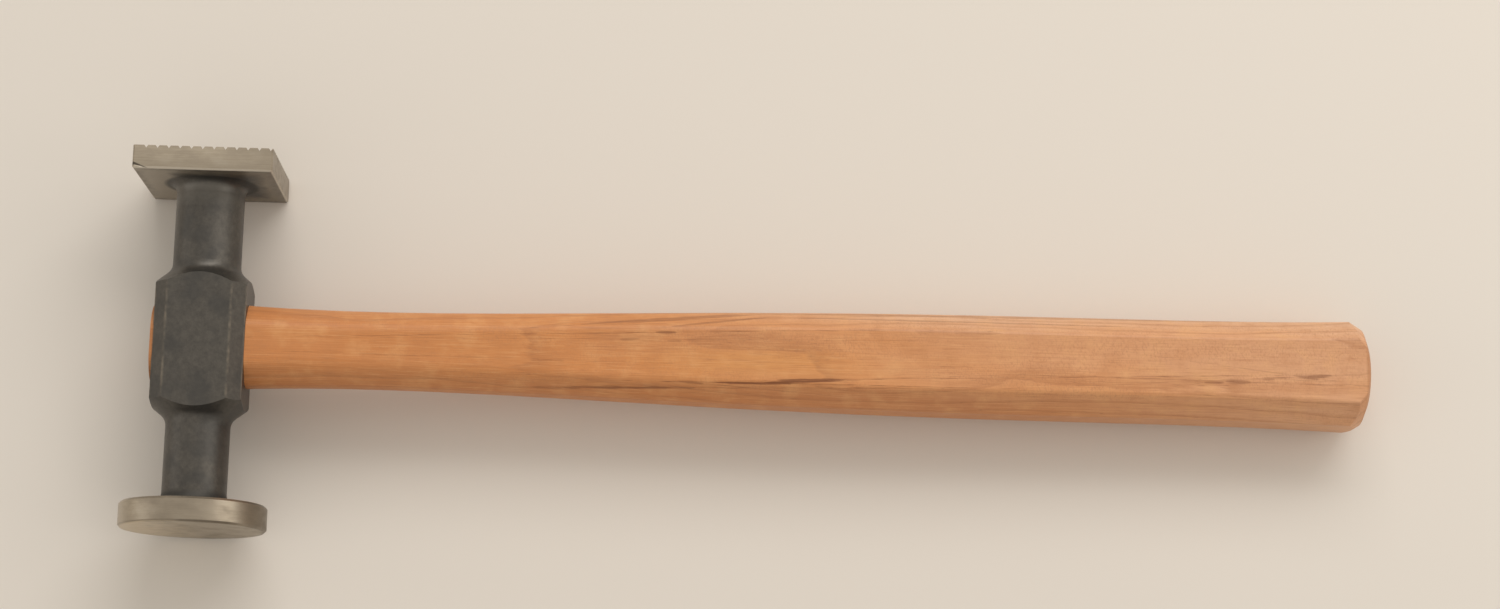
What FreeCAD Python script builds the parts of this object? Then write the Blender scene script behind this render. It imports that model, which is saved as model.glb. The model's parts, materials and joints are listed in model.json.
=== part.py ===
import FreeCAD, Part

import math
import os

# Shrinking hammer for car body panels, about 330 mm long and 420 g.
#
# It is five pieces.  One steel head carries a flat round face on one end and a cross-milled square
# face on the other.  A hickory handle has its tenon in the head's double-tapered eye.  A wooden wedge
# in the tenon's saw kerf and two barbed steel wedges across it spread the wood, so the head stays on.
#
# The pieces are drawn about the centre of the eye: +X along the handle to its butt, +Y along the
# head to the square face, +Z across the cheeks.  At the end the hammer is laid on its side, as it
# lies on a bench on the round disc, the square plate and the butt.  The origin is then on the bench,
# under the middle of the hammer.
#
# All lengths are in millimetres.

overall_length = 329.0

# Round end: a flat disc.
round_face_diameter = 38.6
round_disc_thickness = 6.6
round_face_reach = 49.0
round_disc_chamfer = 0.6
round_neck_diameter = 17.0

# Square end: a plate milled with crossing V grooves, whose first groove stands off one edge.
square_face_side = 36.6
square_plate_thickness = 6.3
square_face_reach = 50.0
square_edge_chamfer = 0.4
square_neck_diameter = 18.0
groove_pitch = 2.96
groove_width = 1.0
groove_depth = 0.75
first_groove_offset = 3.4

# Blends turned on the head.
neck_root_radius = 3.2
neck_shoulder_radius = 4.0
barrel_end_radius = 2.0

# Middle of the head: a turned barrel with flats milled round it.
head_depth = 24.0
cheek_wall = 3.8
end_wall = 4.2
barrel_cone_length = 5.0
barrel_bevel = 3.5
barrel_corner_relief = 0.5

# Eye: an oval hole, narrowest at its middle, wider where the wedges spread the wood.
eye_entry_length = 20.4
eye_entry_width = 14.0
eye_waist_length = 19.6
eye_waist_width = 13.2
eye_exit_length = 21.6
eye_exit_width = 15.2
eye_rim_chamfer = 0.5

# Handle: the tenon fills the eye, and the grip beyond the head swells to the butt.
fit_gap = 0.04
tenon_stand_out = 0.8
butt_width = 28.6
butt_thickness = 23.4
butt_face_radius = 10.0
butt_bevel_radius = 13.1
butt_bevel_length = 1.3
butt_ease_length = 5.5
butt_turned_clearance = 0.1

# Grip sections, evenly spaced from the head to the butt.  Each row holds shares: width of the butt's
# width, thickness of the butt's thickness, broad flat of its own width, side flat of its own
# thickness, and corner radius of its own thickness.
grip_section_shares = (
    (0.770, 0.660, 0.50, 0.40, 0.290),
    (0.754, 0.730, 0.60, 0.43, 0.210),
    (0.892, 0.850, 0.61, 0.46, 0.090),
    (0.932, 0.915, 0.59, 0.48, 0.058),
    (1.000, 1.000, 0.61, 0.52, 0.050),
)

# Wooden wedge, driven into the saw kerf that runs along the eye.
kerf_depth = 20.5
kerf_width = 1.0
wood_wedge_length = 16.5
wood_wedge_thickness = 3.8
wood_wedge_tip = 1.3

# Steel wedges, driven across the wooden one.
steel_wedge_spacing = 10.4
steel_wedge_width = 9.6
steel_wedge_length = 11.5
steel_wedge_thickness = 2.3
steel_wedge_tip = 0.5
steel_barb_height = 0.22
steel_barb_count = 3

# Cutters run past what they cut by this much.
overrun = 1.0

# Sizes worked out from those above.
round_radius = round_face_diameter / 2
handle_reach = overall_length - round_radius
round_neck_radius = round_neck_diameter / 2
square_neck_radius = square_neck_diameter / 2
half_depth = head_depth / 2
half_height = eye_exit_width / 2 + cheek_wall
barrel_half_length = eye_exit_length / 2 + end_wall
tenon_end = -half_depth - tenon_stand_out
groove_count = 1 + int((square_face_side - first_groove_offset) / groove_pitch)


def on_length(length):
    """Places section points across the handle: they lie at this distance along it."""
    return lambda across, up: FreeCAD.Vector(length, across, up)


def unit(vector):
    return vector * (1 / vector.Length)


def eased_wire(corners, radii):
    """A closed wire through corner points, each eased like a rounding of its radius, or sharp where it is zero."""
    count = len(corners)
    ends = []
    for index, (corner, radius) in enumerate(zip(corners, radii)):
        to_last = unit(corners[index - 1] - corner)
        to_next = unit(corners[(index + 1) % count] - corner)
        reach = radius / math.tan(to_last.getAngle(to_next) / 2)
        ends.append((corner + to_last * reach, corner + to_next * reach))
    edges = []
    for index, (start, end) in enumerate(ends):
        if radii[index]:
            curve = Part.BezierCurve()
            curve.setPoles([start, corners[index], end])
            edges.append(curve.toShape())
        edges.append(Part.LineSegment(end, ends[(index + 1) % count][0]).toShape())
    return Part.Wire(edges)


def octagon_corners(width, height, broad_flat, side_flat):
    """The eight corners of an octagon, anticlockwise from the top right."""
    half_width, half_tall = width / 2, height / 2
    half_broad, half_side = broad_flat / 2, side_flat / 2
    return [
        (half_broad, half_tall),
        (-half_broad, half_tall),
        (-half_width, half_side),
        (-half_width, -half_side),
        (-half_broad, -half_tall),
        (half_broad, -half_tall),
        (half_width, -half_side),
        (half_width, half_side),
    ]


def turned(profile, axis):
    """A solid of revolution from a closed wire that touches its axis."""
    return Part.Face(profile).revolve(FreeCAD.Vector(0, 0, 0), axis, 360)


def centred_box(size_x, size_y, size_z, middle):
    corner = FreeCAD.Vector(size_x, size_y, size_z) * -0.5 + middle
    return Part.makeBox(size_x, size_y, size_z, corner)


def prism(points, direction):
    """A straight prism from a closed polygon."""
    return Part.Face(Part.makePolygon(points + points[:1])).extrude(direction)


# Head

def head_spine():
    """The disc, both necks and the barrel, turned in one profile along the head's axis."""
    face = -round_face_reach
    disc_back = face + round_disc_thickness
    plate_back = square_face_reach - square_plate_thickness
    barrel_radius = math.hypot(half_depth, half_height - barrel_bevel) + barrel_corner_relief
    cone_end = barrel_half_length + barrel_cone_length
    profile = [
        (0, face, 0),
        (round_radius - round_disc_chamfer, face, 0),
        (round_radius, face + round_disc_chamfer, 0),
        (round_radius, disc_back - round_disc_chamfer, 0),
        (round_radius - round_disc_chamfer, disc_back, 0),
        (round_neck_radius, disc_back, neck_root_radius),
        (round_neck_radius, -cone_end, neck_shoulder_radius),
        (barrel_radius, -barrel_half_length, barrel_end_radius),
        (barrel_radius, barrel_half_length, barrel_end_radius),
        (square_neck_radius, cone_end, neck_shoulder_radius),
        (square_neck_radius, plate_back, neck_root_radius),
        (square_neck_radius + 2 * neck_root_radius, plate_back, 0),
        (square_neck_radius + 2 * neck_root_radius, plate_back + square_edge_chamfer, 0),
        (0, plate_back + square_edge_chamfer, 0),
    ]
    corners = [FreeCAD.Vector(radius, along, 0) for radius, along, rounding in profile]
    return turned(eased_wire(corners, [row[2] for row in profile]), FreeCAD.Vector(0, 1, 0))


def square_plate():
    """The square plate with its edges broken, before the face is milled."""
    middle = FreeCAD.Vector(0, square_face_reach - square_plate_thickness / 2, 0)
    plate = centred_box(square_face_side, square_plate_thickness, square_face_side, middle)
    face_line = square_face_reach - square_edge_chamfer
    edges = [edge for edge in plate.Edges if edge.CenterOfMass.y < face_line]
    return plate.makeChamfer(square_edge_chamfer, edges)


def grooves(turn):
    """The V grooves that run one way across the square face, turned about the head's axis."""
    spread = overrun * groove_width / groove_depth / 2
    length = square_face_side + 2 * overrun
    cutters = []
    for number in range(groove_count):
        across = first_groove_offset + number * groove_pitch - square_face_side / 2
        points = [
            FreeCAD.Vector(across - groove_width / 2 - spread, square_face_reach + overrun, -length / 2),
            FreeCAD.Vector(across + groove_width / 2 + spread, square_face_reach + overrun, -length / 2),
            FreeCAD.Vector(across, square_face_reach - groove_depth, -length / 2),
        ]
        cutter = prism(points, FreeCAD.Vector(0, 0, length))
        cutter.rotate(FreeCAD.Vector(0, 0, 0), FreeCAD.Vector(0, 1, 0), turn)
        cutters.append(cutter)
    return cutters


def flats_cutter():
    """All that is milled off the barrel: the space outside an octagonal prism, between the necks' ends."""
    length = 2 * (barrel_half_length + barrel_cone_length)
    size = 2 * (half_depth + half_height)
    block = centred_box(size, length, size, FreeCAD.Vector(0, 0, 0))
    corners = octagon_corners(
        head_depth, 2 * half_height, head_depth - 2 * barrel_bevel, 2 * (half_height - barrel_bevel)
    )
    start = -length / 2 - overrun
    points = [FreeCAD.Vector(across, start, up) for across, up in corners]
    return block.cut(prism(points, FreeCAD.Vector(0, length + 2 * overrun, 0)))


# Eye and tenon

def eye_size(place):
    """The eye's length and width at a place along the handle's axis, also a little past its ends."""
    if place > 0:
        share = place / half_depth
        end_length, end_width = eye_entry_length, eye_entry_width
    else:
        share = -place / half_depth
        end_length, end_width = eye_exit_length, eye_exit_width
    length = eye_waist_length + (end_length - eye_waist_length) * share
    width = eye_waist_width + (end_width - eye_waist_width) * share
    return length, width


def oval_wire(place, length, width):
    """An oval of two flats and two round ends, each end in two quarter arcs."""
    point = on_length(place)
    radius = width / 2
    centre = length / 2 - radius
    diagonal = radius * math.sqrt(0.5)
    edges = []
    for side in (1, -1):
        top, bottom = point(side * centre, side * radius), point(side * centre, -side * radius)
        tip = point(side * (centre + radius), 0)
        upper = point(side * (centre + diagonal), side * diagonal)
        lower = point(side * (centre + diagonal), -side * diagonal)
        edges.append(Part.LineSegment(point(-side * centre, side * radius), top).toShape())
        edges.append(Part.Arc(top, upper, tip).toShape())
        edges.append(Part.Arc(tip, lower, bottom).toShape())
    return Part.Wire(edges)


def eye_fill(first, last, gap):
    """The solid that fills the eye from one place to another, smaller all round by the gap."""
    wires = []
    for place in (first, 0, last):
        length, width = eye_size(place)
        wires.append(oval_wire(place, length - 2 * gap, width - 2 * gap))
    return Part.makeLoft(wires, True, True)


def eye_rims():
    """The chamfers round both mouths of the eye."""
    rims = []
    for side in (1, -1):
        inside = side * (half_depth - eye_rim_chamfer)
        outside = side * (half_depth + eye_rim_chamfer)
        length, width = eye_size(inside)
        growth = 4 * eye_rim_chamfer
        inner = oval_wire(inside, length, width)
        outer = oval_wire(outside, length + growth, width + growth)
        rims.append(Part.makeLoft([inner, outer], True, True))
    return rims


def hammer_head():
    head = head_spine().cut(flats_cutter())
    head = head.fuse(square_plate())
    head = head.cut(grooves(0) + grooves(90))
    eye = eye_fill(half_depth + overrun, -half_depth - overrun, 0)
    return head.cut([eye] + eye_rims())


# Wedges

def wooden_wedge_block(gap):
    """The wooden wedge's full taper, wider than the eye, and thicker by the gap on each face."""
    start = tenon_end
    tip = tenon_end + wood_wedge_length + gap
    thick, thin = wood_wedge_thickness / 2 + gap, wood_wedge_tip / 2 + gap
    back = -eye_exit_length
    points = [
        FreeCAD.Vector(start, back, -thick),
        FreeCAD.Vector(tip, back, -thin),
        FreeCAD.Vector(tip, back, thin),
        FreeCAD.Vector(start, back, thick),
    ]
    return prism(points, FreeCAD.Vector(0, 2 * eye_exit_length, 0))


def steel_wedge_block(side, gap):
    """One steel wedge: a taper with barbs whose ledges face back out of the wood."""
    slope = (steel_wedge_tip - steel_wedge_thickness) / 2 / steel_wedge_length
    outline = []
    for number in range(steel_barb_count + 1):
        near = steel_wedge_length * number / (steel_barb_count + 1)
        far = steel_wedge_length * (number + 1) / (steel_barb_count + 1)
        barb = steel_barb_height if number else 0
        outline.append((near, steel_wedge_thickness / 2 + slope * near + barb))
        outline.append((far, steel_wedge_thickness / 2 + slope * far))
    outline[-1] = (outline[-1][0] + gap, outline[-1][1])
    middle = side * steel_wedge_spacing / 2
    back = -steel_wedge_width / 2 - gap
    right = [FreeCAD.Vector(tenon_end + deep, middle + half + gap, back) for deep, half in outline]
    left = [FreeCAD.Vector(tenon_end + deep, middle - half - gap, back) for deep, half in outline]
    return prism(right + left[::-1], FreeCAD.Vector(0, 0, steel_wedge_width + 2 * gap))


def wooden_wedge():
    core = eye_fill(half_depth, tenon_end, 2 * fit_gap)
    wedge = wooden_wedge_block(0).common(core)
    return wedge.cut([steel_wedge_block(side, fit_gap) for side in (1, -1)])


# Handle

def grip():
    """The grip: rounded octagons joined smoothly, oval near the head and eight-sided at the butt."""
    wires = []
    start = half_depth + fit_gap
    step = (handle_reach - start) / (len(grip_section_shares) - 1)
    for number, (wide, thick, broad, side, radius) in enumerate(grip_section_shares):
        width, thickness = wide * butt_width, thick * butt_thickness
        corners = octagon_corners(width, thickness, broad * width, side * thickness)
        point = on_length(start + number * step)
        rounding = [radius * thickness] * len(corners)
        wires.append(eased_wire([point(across, up) for across, up in corners], rounding))
    return Part.makeLoft(wires, True, False)


def butt_turning():
    """The turned shape that eases the butt: a long cylinder, just round its corners, with two bevels."""
    side_flat = grip_section_shares[-1][3] * butt_thickness
    radius = math.hypot(butt_width, side_flat) / 2 + butt_turned_clearance
    corners = [
        FreeCAD.Vector(half_depth, 0, 0),
        FreeCAD.Vector(handle_reach, 0, 0),
        FreeCAD.Vector(handle_reach, butt_face_radius, 0),
        FreeCAD.Vector(handle_reach - butt_bevel_length, butt_bevel_radius, 0),
        FreeCAD.Vector(handle_reach - butt_ease_length, radius, 0),
        FreeCAD.Vector(half_depth, radius, 0),
    ]
    return turned(Part.makePolygon(corners + corners[:1]), FreeCAD.Vector(1, 0, 0))


def handle():
    shaft = grip().common(butt_turning())
    shaft = shaft.fuse(eye_fill(half_depth + overrun, tenon_end, fit_gap))
    kerf_middle = FreeCAD.Vector(tenon_end + (kerf_depth - overrun) / 2, 0, 0)
    kerf = centred_box(kerf_depth + overrun, 2 * eye_exit_length, kerf_width, kerf_middle)
    slots = [steel_wedge_block(side, fit_gap) for side in (1, -1)]
    return shaft.cut([kerf, wooden_wedge_block(fit_gap)] + slots)


# Rest

def laid_down(pieces):
    """Turns the hammer onto its side until disc, square plate and butt all touch the bench."""
    disc_back_edge = round_face_reach - round_disc_thickness + round_disc_chamfer
    disc_low = FreeCAD.Vector(0, -disc_back_edge, -round_radius)
    plate_side = square_face_side / 2
    plate_low = FreeCAD.Vector(plate_side - square_edge_chamfer, square_face_reach, -plate_side)
    bevel_share = (butt_thickness / 2 - butt_face_radius) / (butt_bevel_radius - butt_face_radius)
    butt_place = handle_reach - bevel_share * butt_bevel_length
    butt_low = FreeCAD.Vector(butt_place, 0, -butt_thickness / 2)
    normal = (butt_low - disc_low).cross(plate_low - disc_low)
    turn = FreeCAD.Rotation(normal, FreeCAD.Vector(0, 0, 1))
    tilted = FreeCAD.Placement(FreeCAD.Vector(0, 0, 0), turn)
    box = Part.makeCompound([piece.transformed(tilted.toMatrix(), True) for piece in pieces])
    box = box.optimalBoundingBox(False, False)
    middle = FreeCAD.Vector(box.Center.x, box.Center.y, box.ZMin)
    return FreeCAD.Placement(-middle, turn)


def build():
    nodes = {
        "hammer_head": hammer_head(),
        "handle": handle(),
        "wooden_wedge": wooden_wedge(),
        "steel_wedge_left": steel_wedge_block(-1, 0),
        "steel_wedge_right": steel_wedge_block(1, 0),
    }
    rest = laid_down(nodes.values())
    os.makedirs("parts", exist_ok=True)
    for name, shape in nodes.items():
        placed = shape.transformed(rest.toMatrix(), True)
        placed.exportStep(os.path.join("parts", name + ".step"))
        print(name, "solids", len(placed.Solids), "valid", placed.isValid(), "volume", round(placed.Volume))
    return nodes, rest


nodes, rest = build()
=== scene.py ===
import json
import math

import bpy
from mathutils import Matrix, Vector

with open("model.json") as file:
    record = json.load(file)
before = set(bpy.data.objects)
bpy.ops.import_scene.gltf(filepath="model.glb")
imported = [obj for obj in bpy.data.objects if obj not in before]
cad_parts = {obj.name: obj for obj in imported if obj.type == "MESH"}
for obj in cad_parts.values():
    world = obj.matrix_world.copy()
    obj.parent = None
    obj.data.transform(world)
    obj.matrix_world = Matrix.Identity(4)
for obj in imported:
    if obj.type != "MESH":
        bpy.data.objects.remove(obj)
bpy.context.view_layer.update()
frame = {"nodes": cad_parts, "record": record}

# The bench and the light
# The hammer lies on its side on a plain pale bench. A wide soft lamp stands beyond its square face and
# fainter ones to the right and left, whose streaks show on the turned rim, in a room of even light.

millimetre = 0.001
bench_side = 6.0
bench_top = -0.0002
bench_colour = (0.822, 0.763, 0.690, 1.0)
room_colour = (1.0, 0.955, 0.885, 1.0)
room_strength = 0.525
room_backdrop = (0.86, 0.81, 0.74, 1.0)


def soft_lamp(name, place, target, size, watts, colour):
    """A rectangular lamp at a place, turned to face a target."""
    bpy.ops.object.select_all(action="DESELECT")
    bpy.ops.object.light_add(type="AREA", location=place)
    lamp = bpy.context.object
    lamp.name = name
    lamp.rotation_euler = (Vector(target) - Vector(place)).to_track_quat("-Z", "Y").to_euler()
    lamp.data.shape = "RECTANGLE"
    lamp.data.size = size[0]
    lamp.data.size_y = size[1]
    lamp.data.energy = watts
    lamp.data.color = colour


soft_lamp("far_lamp", place=(0.34, 1.10, 1.10), target=(0.03, 0.0, 0.0),
          size=(1.6, 0.73), watts=12.0, colour=(1.0, 0.975, 0.945))
soft_lamp("right_lamp", place=(0.86, 0.10, 0.62), target=(-0.10, 0.0, 0.0),
          size=(0.85, 0.60), watts=1.6, colour=(1.0, 0.96, 0.90))
soft_lamp("left_lamp", place=(-1.00, -0.20, 0.36), target=(-0.14, 0.0, 0.02),
          size=(0.9, 0.60), watts=0.75, colour=(1.0, 0.97, 0.94))


class Shade:
    """One value of a material, so that shading is written as sums of values."""

    def __init__(self, tree, socket):
        self.tree = tree
        self.socket = socket

    def maths(self, operation, *values):
        step = self.tree.nodes.new("ShaderNodeMath")
        step.operation = operation
        for place, value in zip(step.inputs, values):
            if isinstance(value, Shade):
                self.tree.links.new(value.socket, place)
            else:
                place.default_value = value
        return Shade(self.tree, step.outputs[0])

    def __add__(self, other):
        return self.maths("ADD", self, other)

    def __radd__(self, other):
        return self.maths("ADD", other, self)

    def __sub__(self, other):
        return self.maths("SUBTRACT", self, other)

    def __rsub__(self, other):
        return self.maths("SUBTRACT", other, self)

    def __mul__(self, other):
        return self.maths("MULTIPLY", self, other)

    def __rmul__(self, other):
        return self.maths("MULTIPLY", other, self)

    def __truediv__(self, other):
        return self.maths("DIVIDE", self, other)

    def __pow__(self, other):
        return self.maths("POWER", self, other)

    def __abs__(self):
        return self.maths("ABSOLUTE", self)

    def __mod__(self, other):
        return self.maths("FLOORED_MODULO", self, other)

    def most(self, other):
        return self.maths("MAXIMUM", self, other)

    def least(self, other):
        return self.maths("MINIMUM", self, other)

    def root(self):
        return self.maths("SQRT", self)

    def between(self, low, high):
        """0 at low and below, 1 at high and above, and even between them. Low may be the larger."""
        return ((self - low) / (high - low)).most(0.0).least(1.0)

    def window(self, low, high, ease):
        """1 from low to high, 0 outside, with eased ends."""
        return self.between(low - ease, low + ease) * self.between(high + ease, high - ease)


class Finish:
    """The nodes of a material, or of the room's light, while they are made."""

    def __init__(self, owner, end_kind="ShaderNodeOutputMaterial"):
        owner.use_nodes = True
        self.owner = owner
        self.tree = owner.node_tree
        self.tree.nodes.clear()
        self.end = self.tree.nodes.new(end_kind)

    def node(self, kind, settings, sockets, output=0):
        """Adds a node, sets it, feeds its sockets and gives one of its outputs."""
        made = self.tree.nodes.new(kind)
        for name, value in settings.items():
            setattr(made, name, value)
        for name, value in sockets.items():
            if isinstance(value, Shade):
                self.tree.links.new(value.socket, made.inputs[name])
            else:
                made.inputs[name].default_value = value
        return Shade(self.tree, made.outputs[output])

    def numbers(self, place):
        """The three numbers of a place."""
        return [self.node("ShaderNodeSeparateXYZ", {}, {"Vector": place}, axis) for axis in "XYZ"]

    def noise(self, place, scale=1.0, detail=2.0, roughness=0.5):
        """Soft noise round 0.5 at a place, which may be given as its three numbers."""
        if isinstance(place, tuple):
            place = self.node("ShaderNodeCombineXYZ", {}, dict(zip("XYZ", place)))
        sockets = {"Vector": place, "Scale": scale, "Detail": detail, "Roughness": roughness}
        return self.node("ShaderNodeTexNoise", {"noise_dimensions": "3D"}, sockets, "Fac")

    def blend(self, first, second, share):
        """A colour between two, the second at a share of 1."""
        settings = {"data_type": "RGBA", "blend_type": "MIX", "clamp_factor": True}
        return self.node("ShaderNodeMix", settings, {0: share, 6: first, 7: second}, 2)

    def layers(self, colour, *rows):
        """A colour with others laid over it in turn, each row a colour and its share."""
        for over, share in rows:
            colour = self.blend(colour, over, share)
        return colour

    def bumps(self, height, strength=0.5):
        """The surface's direction, raised and sunk by a height in millimetres."""
        sockets = {"Strength": strength, "Distance": millimetre, "Height": height}
        return self.node("ShaderNodeBump", {}, sockets)

    def show(self, shader):
        """Ends the nodes with a shader."""
        self.tree.links.new(shader.socket, self.end.inputs["Surface"])

    def surface(self, sockets):
        """Ends the nodes with a lit surface."""
        self.show(self.node("ShaderNodeBsdfPrincipled", {}, sockets))


def dress(piece, finish):
    """Gives a piece one material in place of what it has."""
    piece.data.materials.clear()
    piece.data.materials.append(finish.owner)


bpy.ops.object.select_all(action="DESELECT")
bpy.ops.mesh.primitive_plane_add(size=bench_side, location=(0.0, 0.0, bench_top))
bench = bpy.context.object
bench.name = "bench"
bench_paint = Finish(bpy.data.materials.new("bench_paint"))
bench_paint.surface({"Base Color": bench_colour, "Roughness": 0.85, "Specular IOR Level": 0.15})
dress(bench, bench_paint)

# The camera and what the steel mirrors see a plain backdrop, and all else gets the room's even light.
room = Finish(bpy.data.worlds.new("room"), "ShaderNodeOutputWorld")
bpy.context.scene.world = room.owner
even_light = room.node("ShaderNodeBackground", {}, {"Color": room_colour, "Strength": room_strength})
backdrop = room.node("ShaderNodeBackground", {}, {"Color": room_backdrop, "Strength": 1.0})
seen_by_camera = room.node("ShaderNodeLightPath", {}, {}, "Is Camera Ray")
seen_in_gloss = room.node("ShaderNodeLightPath", {}, {}, "Is Glossy Ray")
seen_through = room.node("ShaderNodeLightPath", {}, {}, "Is Transmission Ray")
backdrop_seen = seen_by_camera.most(seen_in_gloss).most(seen_through)
room.show(room.node("ShaderNodeMixShader", {}, {0: backdrop_seen, 1: even_light, 2: backdrop}))

bpy.context.scene.view_settings.view_transform = "Standard"

# The camera
# It stands about 0.8 m over the bench, a little to the round face's side, and looks almost straight
# down, as the photograph was taken.

camera_place = (-0.00480, -0.13605, 0.80648)
camera_turn = (math.radians(10.795), math.radians(-0.564), math.radians(1.261))
camera_lens = 72.21
camera_sensor = 36.0
camera_nearest = 0.01
camera_farthest = 20.0

bpy.ops.object.select_all(action="DESELECT")
bpy.ops.object.camera_add(location=camera_place, rotation=camera_turn)
camera = bpy.context.object
camera.name = "camera"
camera.data.sensor_fit = "HORIZONTAL"
camera.data.sensor_width = camera_sensor
camera.data.lens = camera_lens
camera.data.clip_start = camera_nearest
camera.data.clip_end = camera_farthest
bpy.context.scene.camera = camera

# The head
# One drop forging of medium carbon steel, turned at the round end and milled at the square end. The
# striking ends are ground bright, and the necks and the middle keep the dark skin of the forge.

# Its sizes are in millimetres, and places on it are from the middle of the eye: x along the handle, y
# from the round face to the square one, and z across the cheeks, away from the bench.
disc_radius = 19.3
disc_thickness = 6.6
round_face_reach = 49.0
round_neck_radius = 8.5
plate_half = 18.3
plate_thickness = 6.3
square_face_reach = 50.0
square_neck_radius = 9.0
barrel_half_length = 15.0
cheek_half_depth = 12.0
cheek_half_height = 11.4
cheek_bevel = 3.5

disc_face = -round_face_reach
disc_back = disc_face + disc_thickness
plate_face = square_face_reach
plate_back = plate_face - plate_thickness

# The colours of ground metal, of the forge's skin and of dirt, and of painted highlights, reflections and
# shade.
ground_dull = (0.300, 0.255, 0.195, 1.0)
ground_clean = (0.460, 0.400, 0.315, 1.0)
ground_dark_cloud = (0.235, 0.200, 0.157, 1.0)
ground_pale_cloud = (0.470, 0.420, 0.350, 1.0)
painted_reflection_pale = (0.600, 0.540, 0.450, 1.0)
painted_sheen_warm = (0.700, 0.600, 0.455, 1.0)
ground_handled = (0.215, 0.182, 0.140, 1.0)
painted_edge_highlight = (0.500, 0.450, 0.375, 1.0)
painted_dark_reflection = (0.140, 0.117, 0.090, 1.0)
forge_skin = (0.074, 0.068, 0.060, 1.0)
forge_scale = (0.105, 0.096, 0.083, 1.0)
forge_smudge = (0.052, 0.051, 0.049, 1.0)
forge_grain = (0.045, 0.043, 0.040, 1.0)
forge_brown = (0.085, 0.060, 0.042, 1.0)
painted_root_shade = (0.032, 0.031, 0.028, 1.0)
painted_neck_highlight = (0.155, 0.145, 0.128, 1.0)
groove_grime = (0.085, 0.078, 0.067, 1.0)
nick_dark = (0.048, 0.041, 0.033, 1.0)

head_mounts = {mount["name"]: mount for mount in frame["record"]["mounts"]}
along_handle = Vector(head_mounts["rack_neck"]["axis"]).normalized()
along_head = -Vector(head_mounts["round_face"]["axis"]).normalized()
across_cheeks = along_handle.cross(along_head)
eye_centre = Vector(head_mounts["round_face"]["pos_m"]) + along_head * (round_face_reach * millimetre)
hammer_lie = Matrix((along_handle, along_head, across_cheeks)).transposed().to_euler()


def hammer_place(finish):
    """The place on the hammer in its own directions, in millimetres from the middle of the eye."""
    seen = finish.node("ShaderNodeTexCoord", {}, {}, "Object")
    sockets = {"Vector": seen, "Location": eye_centre, "Rotation": hammer_lie, "Scale": (millimetre,) * 3}
    return finish.node("ShaderNodeMapping", {"vector_type": "TEXTURE"}, sockets)


steel = Finish(bpy.data.materials.new("forged_and_ground_steel"))
place = hammer_place(steel)
x, y, z = steel.numbers(place)
from_axis = (x * x + z * z).root()
from_middle = abs(x).most(abs(z))

# Where the grinding wheel and the lathe have been. The back of the plate is bare outside a patch of
# forging skin round the neck, which lies a little to the right and is narrower than it is high.
patch_shift = 2.5
patch_width_share = 0.84
patch_half_width = 10.5
patch_blur = 2.0
wander = steel.noise(place, scale=0.35, detail=3.0) - 0.5
on_rim = y.between(disc_back + 0.9, disc_back - 0.1) * from_axis.between(disc_radius - 1.6, disc_radius - 0.7)
on_round_face = y.between(disc_face + 0.35, disc_face + 0.2)
off_round_neck = from_axis + 3.0 * wander
on_disc_back = (y.window(disc_back - 0.3, disc_back + 0.3, 0.1)
                * off_round_neck.between(round_neck_radius + 4.0, round_neck_radius + 8.0))
on_plate_edge = (y.between(plate_back - 0.1, plate_back + 0.2)
                 * from_middle.between(plate_half - 0.9, plate_half - 0.5))
off_patch = abs(x - patch_shift).most(abs(z) * patch_width_share) + 4.0 * wander
on_plate_back = (y.window(plate_back - 0.3, plate_back + 0.6, 0.1)
                 * off_patch.between(patch_half_width - patch_blur, patch_half_width + patch_blur)
                 * from_axis.between(square_neck_radius + 2.4, square_neck_radius + 3.8))
on_teeth = y.between(plate_face - 0.25, plate_face - 0.1)
in_grooves = y.window(plate_face - 1.2, plate_face + 1.0, 0.1)
ground = on_rim.most(on_round_face).most(on_plate_edge).most(on_teeth)

# Bare metal shows where the barrel's corners have rubbed, along both edges of its four bevels.
in_barrel = abs(y).between(barrel_half_length + 0.4, barrel_half_length - 0.6)
off_cheek = ((abs(x) - (cheek_half_depth - cheek_bevel)) ** 2.0 + (abs(z) - cheek_half_height) ** 2.0).root()
off_wall = ((abs(x) - cheek_half_depth) ** 2.0 + (abs(z) - (cheek_half_height - cheek_bevel)) ** 2.0).root()
rubbing = steel.noise(place, scale=0.30, detail=3.0, roughness=0.6)
rubbed = off_cheek.least(off_wall).between(0.60, 0.10) * in_barrel * rubbing.between(0.38, 0.66)
bare = ground.most(in_grooves * 0.75).most(on_plate_back * 0.80).most(on_disc_back * 0.7).most(rubbed * 0.42)

# A painted highlight brightens the broken edge round the plate's back. Painted shade and dark reflections
# dull the one round the disc's face, the right side and the middle of the disc's rim, and, in patches, the
# edges of the plate's back.
plate_corner = from_middle.between(plate_half - 0.55, plate_half - 0.25)
plate_edge_painted_highlight = (plate_corner * y.between(plate_back + 0.55, plate_back + 0.25)
              * y.between(plate_back - 0.1, plate_back))
disc_corner = from_axis.between(disc_radius - 0.75, disc_radius - 0.45)
face_edge_painted_shade = (disc_corner * y.between(disc_face + 0.75, disc_face + 0.45)
            * y.between(disc_face - 0.1, disc_face + 0.1)
            * (0.25 + 0.65 * x.between(-6.0, 0.0) * x.between(16.0, 11.0)))
# Painted dark reflection on the rim's right side, and painted shade dimming the middle of its highlight.
rim_side_painted_shade = on_rim * x.between(disc_radius * 0.60, disc_radius * 0.86) * 0.60
rim_middle_painted_shade = on_rim * x.window(-11.0, 10.5, 3.0) * 0.42
# Painted shade in patches under the bright edge of the plate's back.
back_edge_painted_shade = ((from_middle + wander * 2.5).window(plate_half - 2.0, plate_half - 0.1, 0.9)
            * y.window(plate_back - 0.1, plate_back + 0.06, 0.04) * rubbing.between(0.34, 0.66) * 0.60)

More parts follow.
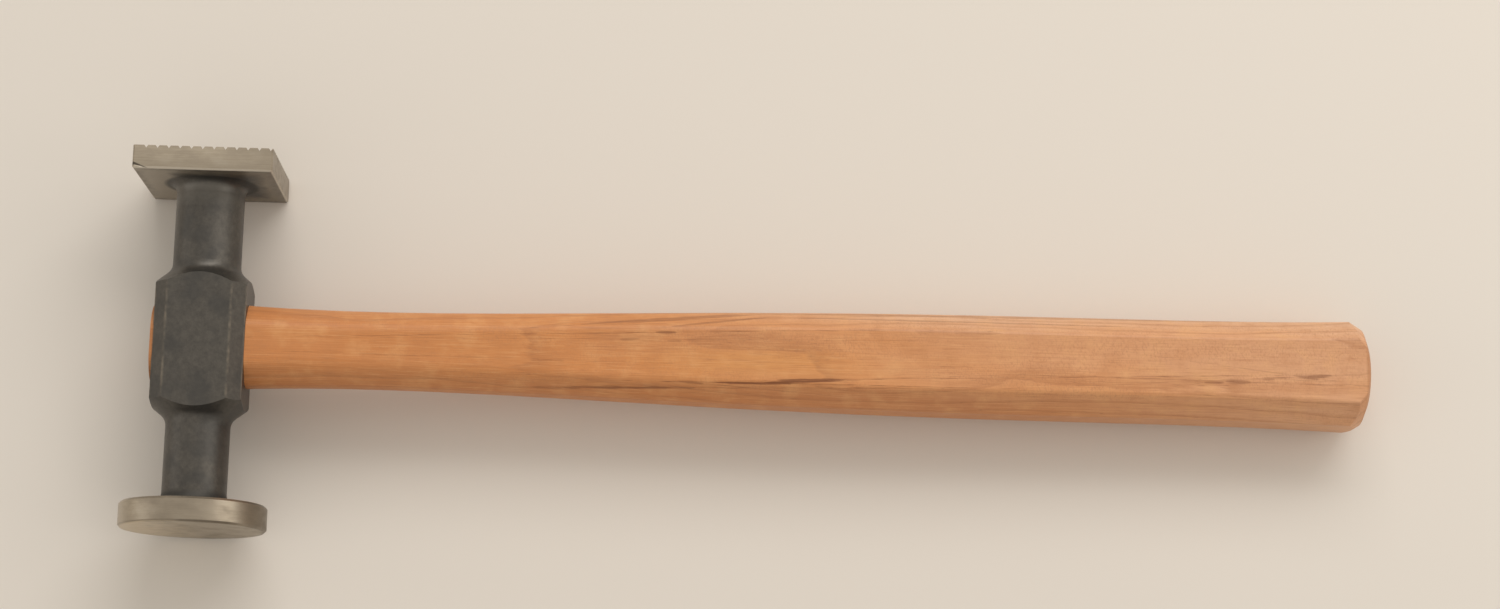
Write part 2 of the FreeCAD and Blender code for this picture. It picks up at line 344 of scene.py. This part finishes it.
# Marks of the wheel: round the disc's rim, straight across its face, and along the plate's edges and back.
angle = steel.node("ShaderNodeMath", {"operation": "ARCTAN2"}, {0: z, 1: x})
rim_lines = steel.noise((angle * 1.6, y * 11.0, 0.0), detail=5.0, roughness=0.68)
face_lines = steel.noise((x * 0.09 + z * 0.03, z * 5.5 - x * 1.8, 4.0), detail=5.0, roughness=0.66)
edge_lines = steel.noise((x * 0.10, y * 7.0, z * 0.10), detail=5.0, roughness=0.64)
back_lines = steel.noise((x * 0.25, z * 3.0, 0.0), detail=4.0, roughness=0.6)
lines = (rim_lines * on_rim + face_lines * on_round_face * (1.0 - on_rim)
         + edge_lines * on_plate_edge + back_lines * on_plate_back * (1.0 - on_plate_edge))

# Where the necks run out into the disc and the plate, painted shade makes the skin blacker, and a painted
# highlight gives a lighter stretch on the square neck just before it.
disc_root = (y.window(disc_back, disc_back + 2.8, 0.7)
             * from_axis.between(round_neck_radius + 4.7, round_neck_radius + 2.7))
plate_root = (y.window(plate_back - 1.0, plate_back + 0.2, 0.35)
              * from_axis.between(square_neck_radius + 4.0, square_neck_radius + 2.9) * x.between(-7.0, 0.0))
neck_root_painted_shade = disc_root.most(plate_root)
neck_painted_highlight = (y.between(plate_back - 7.5, plate_back - 4.1) * y.between(plate_back - 1.0, plate_back - 2.0)
              * from_axis.between(square_neck_radius + 2.6, square_neck_radius + 1.4) * x.between(10.5, 4.0))

# Smudges, pits, scale and its grain on the skin, clouds and wear on the ground metal, dirt in the grooves.
smudge = steel.noise(place, scale=0.13, detail=3.0)
cloud = steel.noise((x * 0.16, y * 0.32 + 9.0, z * 0.16), detail=3.0, roughness=0.55)
pits = steel.noise(place, scale=3.2, detail=4.0, roughness=0.7)
scale_patches = steel.noise(place, scale=0.75, detail=5.0, roughness=0.68)
scale_grain = steel.noise(place, scale=6.5, roughness=0.6)
edge_wear = (y.between(plate_face - 1.8, plate_back) * 0.55).most(x.between(4.0, 18.0) * 0.45)
groove_dirt = (y.window(plate_face - 1.0, plate_face - 0.42, 0.18)
               * from_middle.between(plate_half, plate_half - 0.4))

# A nick across the plate's left inner corner, from the forging's trimming: a wedge between two lines.
nick_blur = 0.08
nick_along = x + plate_half
nick_up = y - plate_back
nick_low_line = 0.92 - 0.20 * nick_along
nick_high_line = 1.80 - 0.42 * nick_along
nick = ((nick_up - nick_low_line).between(-nick_blur, nick_blur)
        * (nick_high_line - nick_up).between(-nick_blur, nick_blur)
        * z.between(plate_half - 4.3, plate_half - 2.3))

ground_colour = steel.layers(
    ground_dull,
    (ground_clean, lines.between(0.28, 0.72)),
    (ground_dark_cloud, cloud.between(0.44, 0.66) * 0.45),
    (ground_pale_cloud, cloud.between(0.46, 0.28) * 0.35),
    # Painted reflection: the left of the plate's back is lighter.
    (painted_reflection_pale, on_plate_back * x.between(2.0, -10.0) * 0.65),
    # Painted sheen: the left half of the round face is lighter and warmer.
    (painted_sheen_warm, on_round_face * (x + wander * 16.0).between(2.0, -12.0) * 0.75),
    # Painted reflection: the left end of the disc's rim is lighter.
    (painted_reflection_pale, on_rim * x.between(-14.0, -17.5) * 0.40),
    (ground_handled, on_plate_edge * edge_wear),
    # Painted shade and dark reflections on the disc's face edge and rim and on the plate's back edges.
    (painted_dark_reflection, face_edge_painted_shade.most(rim_side_painted_shade).most(rim_middle_painted_shade).most(back_edge_painted_shade)),
    # Painted highlight along the plate's back edge.
    (painted_edge_highlight, plate_edge_painted_highlight))
skin_colour = steel.layers(
    forge_skin,
    (forge_scale, scale_patches.between(0.34, 0.68)),
    (forge_smudge, smudge.between(0.46, 0.62) * 0.50),
    (forge_grain, scale_grain.between(0.52, 0.70) * 0.35),
    (forge_brown, pits.between(0.65, 0.76) * 0.40),
    # Painted shade where the necks meet the disc and the plate.
    (painted_root_shade, neck_root_painted_shade * 0.65),
    # Painted highlight on the square neck near the plate.
    (painted_neck_highlight, neck_painted_highlight * 0.60))
steel_colour = steel.layers(
    skin_colour,
    (ground_colour, bare),
    (groove_grime, groove_dirt * 0.75),
    (nick_dark, nick * 0.85))

steel_roughness = (0.385 + 0.16 * neck_root_painted_shade - 0.025 * ground + 0.16 * (pits - 0.5)
                   + 0.12 * cloud.between(0.45, 0.7) * ground)
steel_relief = (pits * 0.030 + scale_patches * 0.045) * (1.0 - bare) + lines * 0.034 - nick * 0.12
steel.surface({
    "Base Color": steel_colour,
    "Metallic": 0.72 + 0.28 * bare,
    "Roughness": steel_roughness,
    "Normal": steel.bumps(steel_relief, strength=0.55),
})
dress(frame["nodes"]["hammer_head"], steel)

# The handle
# One billet of hickory, shaved oval behind the head and eight-sided at the grip, its butt turned with
# a bevel, then sanded and lacquered. The tenon fills the eye.

butt_end = 309.7
fit_gap = 0.04
tenon_stand_out = 0.8
grip_start = cheek_half_depth + fit_gap
tenon_end = -cheek_half_depth - tenon_stand_out
heart_y = -7.0
heart_z = -74.0
ring_width = 2.5
ring_drift = 9.0
ring_waver = 1.3
ripple_lean = 0.12
vein_fray = 2.6
vein_depth_share = 0.3
steel_wedge_offset = 5.2
steel_wedge_half_thickness = 1.15
steel_wedge_half_width = 4.8

honey = (0.685, 0.278, 0.088, 1.0)
rosy = (0.712, 0.384, 0.216, 1.0)
toasted = (0.590, 0.222, 0.070, 1.0)
pale_sapwood = (0.790, 0.540, 0.368, 1.0)
red_heartwood = (0.490, 0.158, 0.046, 1.0)
stain_brown = (0.420, 0.165, 0.065, 1.0)
golden = (0.780, 0.370, 0.115, 1.0)
curl_pale = (0.84, 0.45, 0.190, 1.0)
curl_dark = (0.50, 0.200, 0.070, 1.0)
early_wood = (0.42, 0.165, 0.060, 1.0)
late_wood = (0.58, 0.250, 0.090, 1.0)
fibre_pale = (0.86, 0.48, 0.22, 1.0)
fibre_dark = (0.42, 0.165, 0.060, 1.0)
thread_dark = (0.46, 0.190, 0.075, 1.0)
tick_brown = (0.44, 0.185, 0.084, 1.0)
pore_brown = (0.24, 0.085, 0.034, 1.0)
mineral = (0.150, 0.041, 0.011, 1.0)
end_brown = (0.46, 0.200, 0.085, 1.0)
vessel_brown = (0.20, 0.080, 0.035, 1.0)
crushed_grey = (0.115, 0.062, 0.036, 1.0)

hickory = Finish(bpy.data.materials.new("lacquered_hickory"))
x, y, z = hickory.numbers(hammer_place(hickory))


def grain(run, along, across, detail, roughness):
    """Noise drawn out along the billet, by how fast it changes along it and across it."""
    return hickory.noise((run * along, y * across, z * across), detail=detail, roughness=roughness)


# Growth rings round a heart far below the billet: wide faint figures on its top, and close lines on
# its sides. They wander slowly along it.
drift = grain(x, along=0.0085, across=0.035, detail=3.0, roughness=0.5) - 0.5
waver = grain(x, along=0.035, across=0.22, detail=3.0, roughness=0.55) - 0.5
off_heart_y = y - heart_y
off_heart_z = z - heart_z
off_heart = (off_heart_y * off_heart_y + off_heart_z * off_heart_z).root()
ring_place = (off_heart + drift * ring_drift + waver * ring_waver) / ring_width
ring = ring_place % 1.0
ring_number = ring_place - ring
early = ring.between(0.0, 0.05) * ring.between(0.30, 0.07)
late = ring.between(0.35, 0.95)
ring_tone = hickory.noise((ring_number * 3.7, 0.0, 0.0), detail=0.0)

# How far sideways the grain runs out, fine fibres, open pores in short dashes, and the ripple and curl
# that the rays and the shave leave across them.
run_out = drift * 7.0
fibres = grain(x, along=0.050, across=4.2, detail=5.0, roughness=0.62)
threads = grain(x, along=0.11, across=1.5, detail=4.0, roughness=0.60)
pores = grain(x, along=0.34, across=6.5, detail=1.0, roughness=0.5)
pore_dash = pores.between(0.64, 0.74) * (0.35 + 0.65 * early)
loose_bands = hickory.noise((x * 0.024, y * 0.13, z * 0.13 + 3.7)).between(0.36, 0.64)
butt_band = (y + run_out).window(1.5, 8.0, 2.5) * x.between(170.0, 240.0)
bands = loose_bands.most(butt_band)
lean = x + y * ripple_lean
ripple = grain(lean, along=2.4, across=1.25, detail=2.0, roughness=0.55)
ticks = ripple.between(0.48, 0.68) * bands * abs(z).between(3.0, 9.5)
curl = grain(lean, along=0.16, across=0.16, detail=3.0, roughness=0.55)
patches = grain(x, along=0.016, across=0.09, detail=3.0, roughness=0.5)

# Paler sapwood lies along the far corner and redder heartwood along the near one, with a stain and a
# golden figure on the broad flat.
sapwood = (y + run_out).between(8.2, 12.6) * x.between(105.0, 190.0)
heartwood = (run_out - y).between(8.0, 12.0) * x.between(290.0, 210.0)
stain = x.window(102.0, 124.0, 12.0) * (y + waver * 9.0).window(1.5, 9.0, 2.5)
figure = x.window(128.0, 166.0, 14.0) * (y + waver * 6.0).window(-5.0, 1.5, 2.0)

# Dark mineral streaks, each a thin vein that runs just under the surface, ragged along the fibres. One more
# row draws a thin dark line along the far upper edge, close to the billet's outline.
fray = grain(x, along=0.16, across=2.6, detail=3.0, roughness=0.6) - 0.5
stray = hickory.noise((x * 0.07, 0.0, 5.0)) - 0.5


def vein(first, last, thickness, darkness):
    """A streak between two places on the surface, thin at its ends."""
    middle_x, middle_y, middle_z = [(a + b) / 2 for a, b in zip(first, last)]
    reach_x, reach_y, reach_z = [(b - a) / 2 for a, b in zip(first, last)]
    share = (x - middle_x) / reach_x
    taper = (1.0 - share * share).most(0.0).root()
    off_y = y - middle_y - share * reach_y - stray * thickness
    off_z = z - middle_z - share * reach_z
    off = (off_y * off_y + off_z * off_z * vein_depth_share).root() + fray * vein_fray * thickness
    return (taper * thickness - off).between(-0.5 * thickness, 0.5 * thickness) * darkness


# Each streak's first and last places, its thickness and its darkness.
vein_rows = (
    ((136.0, -7.50, 9.25), (156.0, -7.45, 9.7), 0.32, 0.80),
    ((143.0, -7.70, 9.4), (170.0, -6.15, 10.05), 0.42, 0.85),
    ((152.0, -6.60, 9.9), (169.0, -6.00, 10.05), 0.30, 0.78),
    ((86.0, -9.60, 5.6), (131.0, -8.85, 7.7), 0.36, 0.62),
    ((126.0, -7.40, 9.1), (133.0, -7.85, 8.9), 0.30, 0.50),
    ((100.0, 7.20, 8.3), (142.0, 11.6, 5.2), 0.42, 0.42),
    ((112.0, 7.90, 8.0), (150.0, 12.0, 4.8), 0.30, 0.38),
    ((124.0, 7.00, 9.1), (150.0, 10.9, 6.3), 0.36, 0.42),
    ((120.0, 5.40, 9.2), (125.6, 5.60, 9.3), 0.34, 0.62),
    ((110.5, 3.40, 9.0), (116.0, 3.50, 9.1), 0.30, 0.34),
    ((123.0, 3.15, 9.3), (127.0, 3.25, 9.3), 0.30, 0.34),
    ((150.0, 10.9, 6.6), (250.0, 10.7, 8.2), 0.24, 0.34),
    # This row draws the thin dark line along the far upper edge.
    ((130.0, 12.0, 5.0), (290.0, 13.3, 5.6), 0.40, 0.30),
    ((265.0, -4.25, 11.0), (270.4, -4.10, 11.0), 0.34, 0.44),
    ((270.6, -3.85, 11.0), (277.4, -3.90, 11.1), 0.48, 0.50),
    ((280.4, -2.95, 11.1), (283.8, -3.0, 11.2), 0.38, 0.36),
    ((288.6, -1.80, 11.3), (295.5, -2.60, 11.3), 0.46, 0.46),
    ((292.0, -2.10, 11.3), (298.8, -1.65, 11.4), 0.42, 0.52),
)
veins = vein(*vein_rows[0])
for row in vein_rows[1:]:
    veins = veins.most(vein(*row))

# End grain drinks the lacquer and is darker, at the butt and in the eye.
end_grain = x.between(butt_end - 1.7, butt_end - 1.1).most(x.between(grip_start - 0.4, grip_start - 1.2))
vessels = grain(x, along=0.3, across=4.0, detail=2.0, roughness=0.6)


def off_steel_wedges(y, z):
    """How far a place is from the nearer steel wedge, and below 0 inside it."""
    off_faces = abs(abs(y) - steel_wedge_offset) - steel_wedge_half_thickness
    off_ends = abs(z) - steel_wedge_half_width
    return off_faces.most(off_ends)


# The wood is crushed and grey with oil round the two steel wedges.
crushed = off_steel_wedges(y, z).between(0.65, 0.05) * x.between(tenon_end + 0.6, tenon_end + 0.2)

# Honey brown, paler and pinker towards the butt, redder and darker near the head.
wood_colour = hickory.layers(
    honey,
    (rosy, (x.between(120.0, 330.0) + (patches - 0.5) * 1.3).most(0.0).least(1.0)),
    (toasted, (x.between(160.0, 60.0) * 0.62 + (patches - 0.5) * 0.8).most(0.0)),
    (pale_sapwood, sapwood * 0.60),
    (red_heartwood, heartwood * 0.48),
    (stain_brown, stain * (0.12 + 0.5 * threads.between(0.4, 0.7))),
    (golden, figure * 0.40),
    (curl_pale, curl.between(0.50, 0.72) * 0.34),
    (curl_dark, curl.between(0.50, 0.30) * 0.26),
    (early_wood, early * (0.20 + 0.50 * ring_tone)),
    (late_wood, late * 0.20),
    (fibre_pale, fibres.between(0.52, 0.72) * 0.40),
    (fibre_dark, fibres.between(0.47, 0.27) * 0.42),
    (thread_dark, threads.between(0.56, 0.74) * 0.40),
    (tick_brown, ticks * 0.40),
    (pore_brown, pore_dash * 0.55),
    (mineral, veins),
    (end_brown, end_grain * 0.55),
    (vessel_brown, end_grain * vessels.between(0.54, 0.66) * (0.25 + 0.6 * early)),
    (crushed_grey, crushed * 0.60))

hickory.surface({
    "Base Color": wood_colour,
    "Roughness": 0.40 + 0.16 * fibres + 0.12 * end_grain,
    "Specular IOR Level": 0.32,
    "Coat Weight": 0.13 - 0.07 * end_grain,
    "Coat Roughness": 0.28,
    "Normal": hickory.bumps(fibres * 0.035 - pore_dash * 0.05 - early * 0.012 - ticks * 0.012),
})
dress(frame["nodes"]["handle"], hickory)

# The wooden wedge
# A thin wedge of plain hardwood, driven into the tenon's saw kerf and sanded flush with it. Only its
# end grain shows, crushed a little by the hammer.

wooden_wedge_side = 1.75
wedge_pale = (0.56, 0.37, 0.20, 1.0)
wedge_ray = (0.43, 0.26, 0.13, 1.0)
wedge_pore = (0.22, 0.12, 0.06, 1.0)
wedge_crushed = (0.13, 0.078, 0.045, 1.0)
wedge_flank = (0.20, 0.105, 0.055, 1.0)

wedge_wood = Finish(bpy.data.materials.new("wedge_hardwood"))
x, y, z = wedge_wood.numbers(hammer_place(wedge_wood))
rays = wedge_wood.noise((x * 0.5, y * 0.7, z * 5.0), detail=3.0, roughness=0.6)
dots = wedge_wood.noise((x * 0.6, y * 6.0, z * 6.0), detail=2.0, roughness=0.6)
off_flank = (abs(z) - wooden_wedge_side) * x.between(tenon_end + 0.8, tenon_end + 0.3)
wedge_colour = wedge_wood.layers(
    wedge_pale,
    (wedge_ray, rays.between(0.4, 0.65)),
    (wedge_pore, dots.between(0.58, 0.72) * 0.6),
    (wedge_crushed, off_steel_wedges(y, z).between(0.60, 0.05) * 0.6),
    (wedge_flank, off_flank.between(-0.30, 0.10) * 0.5))
wedge_wood.surface({
    "Base Color": wedge_colour,
    "Roughness": 0.62 + 0.12 * rays,
    "Normal": wedge_wood.bumps(rays * 0.05 - dots * 0.04),
})
dress(frame["nodes"]["wooden_wedge"], wedge_wood)

# The steel wedges
# Two stamped steel wedges with barbs, driven across the wooden one. Their heads are burred by the
# hammer and a little rusty where they meet the wood.

stamped_dark = (0.22, 0.208, 0.193, 1.0)
stamped_pale = (0.33, 0.315, 0.290, 1.0)
rust_brown = (0.17, 0.085, 0.045, 1.0)

wedge_steel = Finish(bpy.data.materials.new("stamped_wedge_steel"))
place = hammer_place(wedge_steel)
strike = wedge_steel.noise(place, scale=1.1, detail=4.0, roughness=0.65)
rust = wedge_steel.noise(place, scale=0.7, detail=4.0, roughness=0.6).between(0.56, 0.74)
stamped_colour = wedge_steel.layers(
    stamped_dark,
    (stamped_pale, strike.between(0.35, 0.65)),
    (rust_brown, rust * 0.6))
wedge_steel.surface({
    "Base Color": stamped_colour,
    "Metallic": 1.0 - 0.6 * rust,
    "Roughness": 0.42 + 0.2 * strike,
    "Normal": wedge_steel.bumps(strike * 0.08),
})
for name in ("steel_wedge_left", "steel_wedge_right"):
    dress(frame["nodes"][name], wedge_steel)
